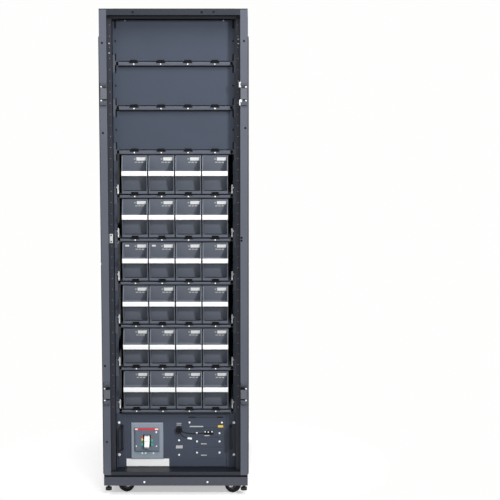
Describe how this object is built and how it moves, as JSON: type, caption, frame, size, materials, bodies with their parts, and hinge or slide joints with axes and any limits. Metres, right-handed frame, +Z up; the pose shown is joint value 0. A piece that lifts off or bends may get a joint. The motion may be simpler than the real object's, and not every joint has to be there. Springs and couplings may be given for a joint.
{
  "type": "modular ups cabinet",
  "caption": "Tall dark cabinet on casters with shelves of pull-out battery modules, blank panels, a breaker unit at the foot and split perforated rear doors over a busbar rack.",
  "frame": {"origin": "on the floor under the middle of the cabinet", "axes": "+Z up, the open front faces -Y, +X to the right seen from the front"},
  "size_m": [0.6, 1.07, 1.991],
  "materials": {
    "cabinet_black": "fine textured dark paint",
    "panel_black": "fine textured dark paint",
    "module_plastic": "moulded dark grey plastic",
    "zinc": "zinc plated steel",
    "tinned_copper": "tinned bar",
    "copper": "bare copper",
    "board_green": "circuit board",
    "black_plastic": "moulded black plastic",
    "breaker_grey": "moulded grey plastic",
    "white_plastic": "moulded white plastic",
    "caster_tyre": "solid rubber tread"
  },
  "bodies": {
    "cabinet": {"backplane_boards": "board_green", "base_cross_rails": "cabinet_black", "base_side_rails": "cabinet_black", "battery_row_1": "module_plastic", "battery_row_2": "module_plastic", "battery_row_3": "module_plastic", "battery_row_4": "module_plastic", "battery_row_5": "module_plastic", "battery_row_6": "module_plastic", "blank_panels": "panel_black", "breaker_case": "breaker_grey", "breaker_panel": "panel_black", "breaker_unit_case": "panel_black", "busbar_insulators": "black_plastic", "busbar_uprights": "zinc", "cable_bracket_bottom": "zinc", "cable_bracket_top": "zinc", "caster_plates": "zinc", "copper_busbar": "copper", "copper_risers": "copper", "floor_pan": "cabinet_black", "front_door_hinge_seats": "cabinet_black", "front_post_left": "cabinet_black", "front_post_right": "cabinet_black", "front_rails": "cabinet_black", "interface_cards": "panel_black", "levelling_feet": "cabinet_black", "module_shelves": "panel_black", "mounting_rails": "panel_black", "panel_grips": "panel_black", "rack_cross_bars": "tinned_copper", "rear_hinges": "zinc", "rear_posts": "cabinet_black", "rear_rails": "cabinet_black", "roof_panel": "cabinet_black", "round_socket": "black_plastic", "side_braces": "cabinet_black", "side_panel_left_lower": "cabinet_black", "side_panel_left_upper": "cabinet_black", "side_panel_right_lower": "cabinet_black", "side_panel_right_upper": "cabinet_black", "tinned_busbars": "tinned_copper", "top_side_rails": "cabinet_black"},
    "rear_door_right": {"rear_door_right_frame": "cabinet_black", "rear_door_right_mesh": "cabinet_black"},
    "rear_door_left": {"rear_door_left_frame": "cabinet_black", "rear_door_left_mesh": "cabinet_black", "door_handle_plate": "black_plastic"},
    "door_handle": {"door_handle": "black_plastic"},
    "lock_rod_upper": {"lock_rod_upper": "zinc"},
    "lock_rod_lower": {"lock_rod_lower": "zinc"},
    "breaker_toggle": {"breaker_toggle": "white_plastic"},
    "caster_front_left": {"caster_fork_front_left": "zinc"},
    "wheel_front_left": {"caster_wheel_front_left": "caster_tyre"},
    "caster_front_right": {"caster_fork_front_right": "zinc"},
    "wheel_front_right": {"caster_wheel_front_right": "caster_tyre"},
    "caster_rear_left": {"caster_fork_rear_left": "zinc"},
    "wheel_rear_left": {"caster_wheel_rear_left": "caster_tyre"},
    "caster_rear_right": {"caster_fork_rear_right": "zinc"},
    "wheel_rear_right": {"caster_wheel_rear_right": "caster_tyre"}
  },
  "joints": [
    {"name": "rear_door_right_swing", "type": "hinge", "parent": "cabinet", "child": "rear_door_right", "pos_m": [0.292, 0.495, 1.035], "axis": [0, 0, -1], "range_deg": [0, 120]},
    {"name": "rear_door_left_swing", "type": "hinge", "parent": "cabinet", "child": "rear_door_left", "pos_m": [-0.292, 0.495, 1.035], "axis": [0, 0, 1], "range_deg": [0, 120]},
    {"name": "door_handle_turn", "type": "hinge", "parent": "rear_door_left", "child": "door_handle", "pos_m": [-0.04, 0.52, 1.07], "axis": [0, 1, 0], "range_deg": [0, 90]},
    {"name": "lock_rod_upper_slide", "type": "slide", "parent": "rear_door_left", "child": "lock_rod_upper", "axis": [0, 0, -1], "range_m": [0, 0.012]},
    {"name": "lock_rod_lower_slide", "type": "slide", "parent": "rear_door_left", "child": "lock_rod_lower", "axis": [0, 0, 1], "range_m": [0, 0.012]},
    {"name": "breaker_toggle_throw", "type": "hinge", "parent": "cabinet", "child": "breaker_toggle", "pos_m": [-0.1225, -0.44, 0.217], "axis": [-1, 0, 0], "range_deg": [0, 70]},
    {"name": "caster_front_left_swivel", "type": "hinge", "parent": "cabinet", "child": "caster_front_left", "pos_m": [-0.221, -0.451, 0.075], "axis": [0, 0, 1], "continuous": true},
    {"name": "wheel_front_left_roll", "type": "hinge", "parent": "caster_front_left", "child": "wheel_front_left", "pos_m": [-0.20888, -0.444, 0.034], "axis": [-0.5, 0.866, 0], "continuous": true},
    {"name": "caster_front_right_swivel", "type": "hinge", "parent": "cabinet", "child": "caster_front_right", "pos_m": [0.221, -0.451, 0.075], "axis": [0, 0, 1], "continuous": true},
    {"name": "wheel_front_right_roll", "type": "hinge", "parent": "caster_front_right", "child": "wheel_front_right", "pos_m": [0.23336, -0.45757, 0.034], "axis": [0.4695, 0.8829, 0], "continuous": true},
    {"name": "caster_rear_left_swivel", "type": "hinge", "parent": "cabinet", "child": "caster_rear_left", "pos_m": [-0.221, 0.401, 0.075], "axis": [0, 0, 1], "continuous": true},
    {"name": "wheel_rear_left_roll", "type": "hinge", "parent": "caster_rear_left", "child": "wheel_rear_left", "pos_m": [-0.23312, 0.408, 0.034], "axis": [-0.5, -0.866, 0], "continuous": true},
    {"name": "caster_rear_right_swivel", "type": "hinge", "parent": "cabinet", "child": "caster_rear_right", "pos_m": [0.221, 0.401, 0.075], "axis": [0, 0, 1], "continuous": true},
    {"name": "wheel_rear_right_roll", "type": "hinge", "parent": "caster_rear_right", "child": "wheel_rear_right", "pos_m": [0.20953, 0.40903, 0.034], "axis": [-0.5736, -0.8192, 0], "continuous": true}
  ],
  "couplings": [
    {"joint": "door_handle_turn", "follows": "lock_rod_upper_slide", "rad_per_m": 130.9},
    {"joint": "lock_rod_lower_slide", "follows": "lock_rod_upper_slide", "ratio": 1}
  ]
}
